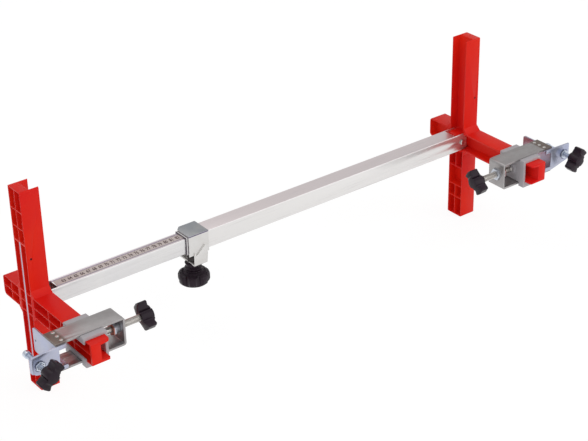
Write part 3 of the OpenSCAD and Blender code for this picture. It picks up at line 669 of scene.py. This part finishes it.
def thread(name, start, end, pitch, root, crest):
    """A closed helical ridge about +Z, whose foot sinks into a shaft of the root radius."""
    foot_width, crest_share, facets, weld = 0.86, 0.16, 24, 0.000001
    sunk = root * 0.96
    lay_down_tools()
    bpy.ops.mesh.primitive_plane_add(size=1, rotation=(math.pi / 2, 0, 0))
    piece = bpy.context.object
    piece.name = name
    piece.scale = (crest - sunk, pitch * foot_width, 1)
    piece.location = ((crest + sunk) / 2, 0, start + pitch / 2)
    set_in_place()
    choose(piece, lambda point: point.co.x > (crest + sunk) / 2)
    bpy.ops.transform.resize(value=(1, 1, crest_share), center_override=(0, 0, start + pitch / 2))
    bpy.ops.object.mode_set(mode="OBJECT")
    winding = piece.modifiers.new("Winding", "SCREW")
    winding.axis = "Z"
    winding.angle = 2 * math.pi
    winding.screw_offset = pitch
    winding.iterations = max(1, int((end - start) / pitch) - 1)
    winding.steps = winding.render_steps = facets
    winding.use_merge_vertices = True
    winding.merge_threshold = weld
    bpy.ops.object.modifier_apply(modifier=winding.name)
    edit(piece, "VERT")
    bpy.ops.mesh.remove_doubles(threshold=weld)
    bpy.ops.mesh.select_all(action="SELECT")
    bpy.ops.mesh.fill_holes(sides=4)
    close_up()
    bpy.ops.object.shade_smooth_by_angle(angle=TURNED_SMOOTH)
    return piece


def join(first, *others):
    """Joins pieces into the first."""
    lay_down_tools()
    for piece in (first, *others):
        piece.select_set(True)
    bpy.context.view_layer.objects.active = first
    bpy.ops.object.join()
    return first


def lay_along(piece, foot, direction):
    """Turns a piece that stands on +Z so that it starts at foot and runs along direction."""
    take_up(piece)
    piece.rotation_mode = "QUATERNION"
    piece.rotation_quaternion = Vector((0, 0, 1)).rotation_difference(Vector(direction))
    piece.location = foot
    set_in_place()
    return piece


def copy_of(piece, name):
    """A copy of a piece with its own mesh."""
    twin = piece.copy()
    twin.data = piece.data.copy()
    twin.name = name
    bpy.context.scene.collection.objects.link(twin)
    return twin


# Operators, one for each piece or group of like pieces

class CLAMP_OT_heads(bpy.types.Operator):
    """Eased copies of the two moulded heads"""

    bl_idname = "clamp.heads"
    bl_label = "Moulded heads"

    def execute(self, context):
        for side in SIDES:
            eased_piece(side + "_head", context.scene.clamp_sizes.moulded_edge)
        return {"FINISHED"}


class CLAMP_OT_carriages(bpy.types.Operator):
    """Eased copies of the two grey carriages"""

    bl_idname = "clamp.carriages"
    bl_label = "Carriages"

    def execute(self, context):
        for side in SIDES:
            eased_piece(side + "_carriage", context.scene.clamp_sizes.slide_edge)
        return {"FINISHED"}


class CLAMP_OT_bars(bpy.types.Operator):
    """Outer tube and inner bar with eased corners"""

    bl_idname = "clamp.bars"
    bl_label = "Tube and bar"

    def execute(self, context):
        for node in ("outer_tube", "inner_bar"):
            eased_piece(node, context.scene.clamp_sizes.sheet_edge)
        return {"FINISHED"}


class CLAMP_OT_mouth_liner(bpy.types.Operator):
    """Nylon liner whose lip shows at the tube's open end"""

    bl_idname = "clamp.mouth_liner"
    bl_label = "Tube mouth liner"

    def execute(self, context):
        tube_low, tube_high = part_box("outer_tube")
        bar_low, bar_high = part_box("inner_bar")
        step_in, bar_gap, overlap, edge = 0.0003, 0.0004, 0.00005, 0.0002
        lip = tube_low.x - MOUTH_REACH
        deep = (tube_high.y - tube_low.y) / 2 - step_in
        tall = (tube_high.z - tube_low.z) / 2 - step_in
        inner = (bar_high.y - bar_low.y) / 2 + bar_gap
        lay_down_tools()
        bpy.ops.mesh.primitive_plane_add(size=2, rotation=(0, -math.pi / 2, 0), location=(lip, 0, 0))
        liner = bpy.context.object
        liner.name = "mouth_liner"
        liner.scale = (tall, deep, 1)
        set_in_place()
        edit(liner)
        bpy.ops.mesh.inset(thickness=deep - inner, use_even_offset=True)
        bpy.ops.mesh.delete(type="FACE")
        bpy.ops.mesh.select_all(action="SELECT")
        bpy.ops.mesh.extrude_region_move(TRANSFORM_OT_translate={"value": (MOUTH_REACH - overlap, 0, 0)})
        close_up()
        ease_edges(liner, edge, 2)
        fit(liner, BODY_OF["outer_tube"], "tube_aluminium", paint="nylon")
        return {"FINISHED"}


class CLAMP_OT_face_plugs(bpy.types.Operator):
    """Small black plugs, a little below the face, in the hole of each post, standing for the shade inside
    it
    """

    bl_idname = "clamp.face_plugs"
    bl_label = "Post plugs"

    def execute(self, context):
        sunk, long, wide = 0.0006, 0.0009, 0.00172
        hole_in, hole_up, post_stands_out = 0.0065, 0.073, 0.002
        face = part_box("outer_tube")[0].y - post_stands_out
        for side, across in (("left", hole_in), ("right", SPAN - hole_in)):
            plug = turned(side + "_hole_shade_plug", [
                (0, wide * 0.94), (long * 0.2, wide), (long * 0.8, wide), (long, wide * 0.88),
                (long, wide * 0.55), (long * 0.6, wide * 0.45)], 24)
            lay_along(plug, (across, face + sunk + long, hole_up), (0, -1, 0))
            # Painted shade: a black plug stands for the shade inside the post's hole
            fit(plug, BODY_OF[side + "_head"], "black_plastic")
        return {"FINISHED"}


class CLAMP_OT_steelwork(bpy.types.Operator):
    """Straps, jaws, stiffening bars, saddle and bracket with deburred edges"""

    bl_idname = "clamp.steelwork"
    bl_label = "Strap and sheet work"

    def execute(self, context):
        edge = context.scene.clamp_sizes.sheet_edge
        for side in SIDES:
            for node in ("_yoke", "_jaw", "_stiffener"):
                eased_piece(side + node, edge)
        for node in ("lock_saddle", "lock_bracket"):
            eased_piece(node, edge)
        return {"FINISHED"}


class CLAMP_OT_small_parts(bpy.types.Operator):
    """Rivets, bushes, nuts, feet and the lock's pad with eased edges"""

    bl_idname = "clamp.small_parts"
    bl_label = "Rivets, bushes and nuts"

    def execute(self, context):
        edge = context.scene.clamp_sizes.sheet_edge
        for side in SIDES:
            for node in ("_pivot_rivet", "_spindle_nut", "_jaw_rivets", "_wall_nut", "_wall_foot"):
                eased_piece(side + node, edge)
        for node in ("lock_nut", "lock_pad"):
            eased_piece(node, edge)
        return {"FINISHED"}


class CLAMP_OT_knobs(bpy.types.Operator):
    """Wing knobs and star knob with well rounded grips"""

    bl_idname = "clamp.knobs"
    bl_label = "Knobs"

    def execute(self, context):
        sizes = context.scene.clamp_sizes
        for side in SIDES:
            for node, screw, axis in (("_spindle_knob", "_spindle", Vector((1, 0, 0))),
                                      ("_wall_knob", "_wall_screw", Vector((0, 1, 0)))):
                wing = joined_copy(side + node, side + node + "_eased")
                self.pinch(wing, sum(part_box(side + screw), Vector()) / 2, axis)
                fit(ease_edges(wing, sizes.grip_edge, sizes.edge_steps), BODY_OF[side + node],
                    "black_plastic", side + node)
        star = joined_copy("lock_knob", "lock_knob_eased")
        low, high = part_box("lock_knob")
        middle, tall, wide = (low + high) / 2, high.z - low.z, (high.x - low.x) / 2
        near = tall * 0.02
        # Rings of the waist: depth below the top, reach from the axis, and how far each is drawn in
        for depth, reach, shrink in ((0.22, 0.60, 0.80), (0.32, 0.60, 0.78), (0.40, 0.70, 0.82),
                                     (0.50, 0.90, 0.88)):
            level = high.z - tall * depth
            choose(star, lambda point: abs(point.co.z - level) < near
                   and (point.co - middle).xy.length < wide * reach)
            bpy.ops.transform.resize(value=(shrink, shrink, 1), center_override=(middle.x, middle.y, level))
        fit(ease_edges(star, sizes.grip_edge, sizes.edge_steps), BODY_OF["lock_knob"], "black_plastic",
            "lock_knob")
        return {"FINISHED"}

    def pinch(self, wing, middle, axis):
        """Narrows the two stems between a wing knob's hub and its tips."""
        def flat(point):
            off = point.co - middle
            return off - axis * off.dot(axis)

        # Shares of the reach to a tip: where a stem starts and ends, its flanks, and how far they move
        stem_start, stem_end, flank_low, flank_high, draw_in = 0.30, 0.49, 0.20, 0.28, 0.075
        tip = max(map(flat, wing.data.vertices), key=lambda off: off.length)
        reach, along = tip.length, tip.normalized()
        across = along.cross(axis)
        for way in (1, -1):
            choose(wing, lambda point: stem_start < abs(flat(point).dot(along)) / reach < stem_end
                   and flank_low < flat(point).dot(across) * way / reach < flank_high)
            bpy.ops.transform.translate(value=tuple(across * (-way * reach * draw_in)))


class CLAMP_OT_spindles(bpy.types.Operator):
    """Threaded spindles of the two yokes"""

    bl_idname = "clamp.spindles"
    bl_label = "Spindles"

    def execute(self, context):
        pitch = context.scene.clamp_sizes.coarse_pitch
        low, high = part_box("left_spindle")
        length = high.x - low.x
        crest = (high.y - low.y) / 2
        root = crest - THREAD_DEPTH * pitch
        neck = crest - 0.001
        groove = neck * 0.82
        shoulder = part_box("left_carriage")[1].x + PLAY - low.x
        clip_low, clip_high = (v.x - low.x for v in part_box("left_spindle_clip"))
        shaft = turned("left_spindle_turned", [
            (0, neck * 0.85), (neck * 0.15, neck), (clip_low, neck), (clip_low, groove),
            (clip_high, groove), (clip_high, neck), (shoulder, neck), (shoulder, root),
            (shoulder + crest - root, crest), (shoulder + pitch, crest), (shoulder + pitch * 1.6, root),
            (length - 0.0005, root), (length, root * 0.9)])
        ridge = thread("spindle_ridge", shoulder + pitch, length - pitch, pitch, root, crest)
        left = join(shaft, ridge)
        right = copy_of(left, "right_spindle_turned")
        axis = (low + high) / 2
        lay_along(left, (low.x, axis.y, axis.z), (1, 0, 0))
        lay_along(right, (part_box("right_spindle")[1].x, axis.y, axis.z), (-1, 0, 0))
        for side, piece in zip(SIDES, (left, right)):
            fit(piece, BODY_OF[side + "_spindle"], "bright_steel", side + "_spindle")
        return {"FINISHED"}


class CLAMP_OT_wall_screws(bpy.types.Operator):
    """Threaded wall screws with turned points"""

    bl_idname = "clamp.wall_screws"
    bl_label = "Wall screws"

    def execute(self, context):
        pitch = context.scene.clamp_sizes.fine_pitch
        low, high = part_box("left_wall_screw")
        length = high.y - low.y
        crest = (high.x - low.x) / 2
        root = crest - THREAD_DEPTH * pitch
        point = 0.0025
        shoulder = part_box("left_wall_foot")[0].y - PLAY - low.y
        shaft = turned("left_wall_screw_turned", [
            (0, root), (shoulder - pitch, root), (shoulder - pitch * 0.4, root * 0.93),
            (shoulder, root * 0.8), (shoulder, point), (length - 0.0004, point), (length, point * 0.8)])
        ridge = thread("wall_ridge", pitch * 0.2, shoulder - pitch * 0.8, pitch, root, crest)
        left = join(shaft, ridge)
        right = copy_of(left, "right_wall_screw_turned")
        for side, piece in zip(SIDES, (left, right)):
            side_low, side_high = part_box(side + "_wall_screw")
            axis = (side_low + side_high) / 2
            lay_along(piece, (axis.x, side_low.y, axis.z), (0, 1, 0))
            fit(piece, BODY_OF[side + "_wall_screw"], "bright_steel", side + "_wall_screw")
        return {"FINISHED"}


class CLAMP_OT_flange_nuts(bpy.types.Operator):
    """Thin hexagon nuts in front of the jaws' flanges"""

    bl_idname = "clamp.flange_nuts"
    bl_label = "Flange nuts"

    def execute(self, context):
        tall, corner, bore, edge, flange = 0.0025, 0.0075, 0.0050, 0.0003, 0.0025
        for side in SIDES:
            screw_low, screw_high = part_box(side + "_wall_screw")
            axis = (screw_low + screw_high) / 2
            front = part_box(side + "_wall_nut")[0].y - flange
            nut = turned(side + "_flange_nut", [
                (0, corner * 0.97), (tall * 0.15, corner), (tall * 0.85, corner), (tall, corner * 0.93),
                (tall, bore), (0, bore)], 6)
            choose(nut, lambda face: len(face.vertices) == 6, "FACE")
            bpy.ops.mesh.delete(type="ONLY_FACE")
            choose(nut, lambda point: point.co.z < tall * 0.01)
            bpy.ops.mesh.select_mode(type="EDGE")
            bpy.ops.mesh.bridge_edge_loops()
            close_up()
            lay_along(ease_edges(nut, edge, 2), (axis.x, front, axis.z), (0, -1, 0))
            fit(nut, BODY_OF[side + "_wall_nut"], "bright_steel")
        return {"FINISHED"}


class CLAMP_OT_lock_screw(bpy.types.Operator):
    """Threaded lock screw under the bar"""

    bl_idname = "clamp.lock_screw"
    bl_label = "Lock screw"

    def execute(self, context):
        pitch = context.scene.clamp_sizes.coarse_pitch
        low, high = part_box("lock_screw")
        length = high.z - low.z
        crest = (high.x - low.x) / 2
        root = crest - THREAD_DEPTH * pitch
        dog = 0.003
        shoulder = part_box("lock_pad")[0].z - PLAY - low.z
        shaft = turned("lock_screw_turned", [
            (0, root), (shoulder - pitch * 0.4, root), (shoulder, root * 0.85), (shoulder, dog),
            (length - 0.0003, dog), (length, dog * 0.9)])
        ridge = thread("lock_ridge", pitch * 0.2, shoulder - pitch * 0.2, pitch, root, crest)
        piece = join(shaft, ridge)
        axis = (low + high) / 2
        lay_along(piece, (axis.x, axis.y, low.z), (0, 0, 1))
        fit(piece, BODY_OF["lock_screw"], "bright_steel", "lock_screw")
        return {"FINISHED"}


class CLAMP_OT_tape_print(bpy.types.Operator):
    """Ticks and numbers of the measuring tape, which reads the span at the tube's open end"""

    bl_idname = "clamp.tape_print"
    bl_label = "Printed scale"

    def execute(self, context):
        sizes = context.scene.clamp_sizes
        low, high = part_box("scale_tape")
        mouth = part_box("outer_tube")[0].x
        centimetre = 0.01
        first = math.ceil((SPAN + low.x - mouth) / centimetre + 0.5)
        last = math.floor((SPAN + high.x - mouth) / centimetre - 0.5)
        middle = (low.y + high.y) / 2
        width = high.y - low.y
        # Shares: of the tape's width, of the numeral height twice, and of a numeral's own width
        drop, letter_size, weight, narrow = 0.26, 1.4, 0.042, 0.66
        marks = []
        for number in range(first, last + 1):
            lay_down_tools()
            bpy.ops.object.text_add(location=(
                mouth + number * centimetre - SPAN, middle - width * drop, high.z))
            mark = bpy.context.object
            mark.data.body = str(number)
            mark.data.size = sizes.numeral_height * letter_size
            mark.data.align_x = "CENTER"
            mark.data.resolution_u = 2
            mark.data.extrude = sizes.ink_thickness
            mark.data.offset = sizes.numeral_height * weight
            mark.scale.x = narrow
            bpy.ops.object.convert(target="MESH")
            set_in_place()
            marks.append(mark)
        start = mouth + first * centimetre - SPAN
        margin, low_reach = 0.02, 0.12
        for step, reach, wide in ((0.001, 0.10, 0.00012), (0.005, 0.17, 0.00018), (0.01, 0.26, 0.00026)):
            count = int((last - first) * centimetre / step + 0.5) + 1
            for edge, inwards in ((high.y, -1), (low.y, 1)):
                if inwards == 1 and step < centimetre:
                    continue
                share = reach if inwards < 0 else low_reach
                lay_down_tools()
                bpy.ops.mesh.primitive_cube_add(size=1, location=(
                    start, edge + inwards * width * (margin + share / 2), high.z))
                tick = bpy.context.object
                tick.scale = (wide, width * share, 2 * sizes.ink_thickness)
                set_in_place()
                row = tick.modifiers.new("Row of ticks", "ARRAY")
                row.use_relative_offset = False
                row.use_constant_offset = True
                row.constant_offset_displace = (step, 0, 0)
                row.count = count
                bpy.ops.object.modifier_apply(modifier=row.name)
                marks.append(tick)
        print_run = join(*marks)
        print_run.name = "tape_print"
        fit(print_run, BODY_OF["scale_tape"], "tape", paint="tape_ink")
        return {"FINISHED"}


class CLAMP_OT_finish_nodes(bpy.types.Operator):
    """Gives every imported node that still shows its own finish"""

    bl_idname = "clamp.finish_nodes"
    bl_label = "Finishes of packed nodes"

    def execute(self, context):
        for name, node in frame["nodes"].items():
            for slot in node.material_slots:
                slot.material = finish(SLOT_OF[name])
        return {"FINISHED"}


class CLAMP_OT_stage(bpy.types.Operator):
    """Camera, lamps, white surroundings and a plain pale floor"""

    bl_idname = "clamp.stage"
    bl_label = "Camera, lamps and floor"

    def execute(self, context):
        stage = context.scene.clamp_stage
        context.scene.view_settings.view_transform = "Standard"
        self.camera(context, stage)
        self.lamps(context, stage)
        self.surroundings(context, stage)
        self.floor(stage)
        return {"FINISHED"}

    def camera(self, context, stage):
        """The photograph's viewpoint."""
        yaw, dip, roll = stage.camera_yaw, stage.camera_dip, stage.camera_roll
        ahead = Vector((math.sin(yaw) * math.cos(dip), math.cos(yaw) * math.cos(dip), -math.sin(dip)))
        right = Vector((math.cos(yaw), -math.sin(yaw), 0))
        up = right.cross(ahead)
        across = right * math.cos(roll) + up * math.sin(roll)
        upwards = up * math.cos(roll) - right * math.sin(roll)
        data = bpy.data.cameras.new("photo_camera")
        data.sensor_width = 36
        data.sensor_fit = "HORIZONTAL"
        data.lens = stage.camera_lens
        camera = bpy.data.objects.new("photo_camera", data)
        context.scene.collection.objects.link(camera)
        turn = Matrix((across, upwards, -ahead)).transposed().to_4x4()
        camera.matrix_world = Matrix.Translation(stage.camera_place) @ turn
        context.scene.camera = camera

    def lamps(self, context, stage):
        """Large soft lamps that face the middle of the clamp."""
        middle = Vector((MIDDLE_X, 0, 0))
        for name, power, size, place in (
                ("key_lamp", stage.key_light, 5.5, (1.5, -2.7, 1.1)),
                ("fill_lamp", stage.fill_light, 3.0, (-2.4, -1.2, 1.2)),
                ("top_lamp", stage.fill_light, 3.0, (0.2, 1.2, 2.8))):
            data = bpy.data.lights.new(name, "AREA")
            data.shape = "DISK"
            data.size = size
            data.energy = power
            lamp = bpy.data.objects.new(name, data)
            context.scene.collection.objects.link(lamp)
            lamp.location = place
            lamp.rotation_mode = "QUATERNION"
            lamp.rotation_quaternion = (middle - Vector(place)).to_track_quat("-Z", "Y")

    def surroundings(self, context, stage):
        """A world that is white to the eye, paler in reflections, and a plain soft light elsewhere."""
        reflected_share = 0.3
        f = Finish("white_room", "worlds")
        seen = f.node("ShaderNodeMath", {"operation": "MAXIMUM"}, {
            0: f.node("ShaderNodeLightPath", output="Is Camera Ray"),
            1: f.node("ShaderNodeLightPath", output="Is Transmission Ray")})
        mirrored = f.node("ShaderNodeLightPath", output="Is Glossy Ray") * reflected_share
        strength = f.between(mirrored + seen, 0, 1, stage.room_light, 1)
        background = f.node("ShaderNodeBackground", {}, {"Color": (1, 1, 1), "Strength": strength})
        f.node("ShaderNodeOutputWorld", {}, {"Surface": background})
        context.scene.world = f.owner

    def floor(self, stage):
        """A pale floor just below the posts that keeps a soft shadow."""
        glow, glow_share, gap = 1.09, 0.82, 0.0005
        f = Finish("pale_floor")
        seen = f.node("ShaderNodeLightPath", output="Is Camera Ray") \
            + f.node("ShaderNodeLightPath", output="Is Glossy Ray") \
            + f.node("ShaderNodeLightPath", output="Is Transmission Ray")
        cloth = f.node("ShaderNodeBsdfDiffuse", {}, {"Color": (0.86, 0.86, 0.86)})
        white = f.node("ShaderNodeEmission", {}, {"Color": (1, 1, 1), "Strength": glow})
        both = f.node("ShaderNodeMixShader", {}, {
            0: f.between(seen, 0, 1, 0, glow_share), 1: cloth, 2: white})
        f.node("ShaderNodeOutputMaterial", {}, {"Surface": both})
        lay_down_tools()
        level = solid_box[0].z - gap
        bpy.ops.mesh.primitive_plane_add(size=stage.floor_size, location=(MIDDLE_X, 0, level))
        floor = bpy.context.object
        floor.name = "floor"
        set_in_place()
        floor.data.materials.append(f.owner)


class CLAMP_PT_panel(bpy.types.Panel):
    """Sidebar list of the steps and settings"""

    bl_idname = "CLAMP_PT_panel"
    bl_label = "Door frame clamp"
    bl_space_type = "VIEW_3D"
    bl_region_type = "UI"
    bl_category = "Clamp"

    def draw(self, context):
        for step in STEPS:
            self.layout.operator(step.bl_idname)
        for group in (context.scene.clamp_sizes, context.scene.clamp_colours, context.scene.clamp_stage):
            column = self.layout.column(align=True)
            for name in group.__annotations__:
                column.prop(group, name)


GROUPS = (ClampSizes, ClampColours, ClampStage)
STEPS = (
    CLAMP_OT_heads, CLAMP_OT_face_plugs, CLAMP_OT_carriages, CLAMP_OT_bars, CLAMP_OT_mouth_liner,
    CLAMP_OT_steelwork, CLAMP_OT_small_parts, CLAMP_OT_knobs, CLAMP_OT_spindles, CLAMP_OT_wall_screws,
    CLAMP_OT_flange_nuts, CLAMP_OT_lock_screw, CLAMP_OT_tape_print, CLAMP_OT_finish_nodes,
    CLAMP_OT_stage)


def register():
    """Makes the settings, steps and panel known to Blender."""
    for kind in (*GROUPS, *STEPS, CLAMP_PT_panel):
        bpy.utils.register_class(kind)
    bpy.types.Scene.clamp_sizes = PointerProperty(type=ClampSizes)
    bpy.types.Scene.clamp_colours = PointerProperty(type=ClampColours)
    bpy.types.Scene.clamp_stage = PointerProperty(type=ClampStage)


def unregister():
    """Takes the settings, steps and panel out again."""
    del bpy.types.Scene.clamp_stage
    del bpy.types.Scene.clamp_colours
    del bpy.types.Scene.clamp_sizes
    for kind in reversed((*GROUPS, *STEPS, CLAMP_PT_panel)):
        bpy.utils.unregister_class(kind)


def main():
    """Runs every step in order."""
    register()
    for step in STEPS:
        group, name = step.bl_idname.split(".")
        getattr(getattr(bpy.ops, group), name)()


if __name__ == "__main__":
    main()
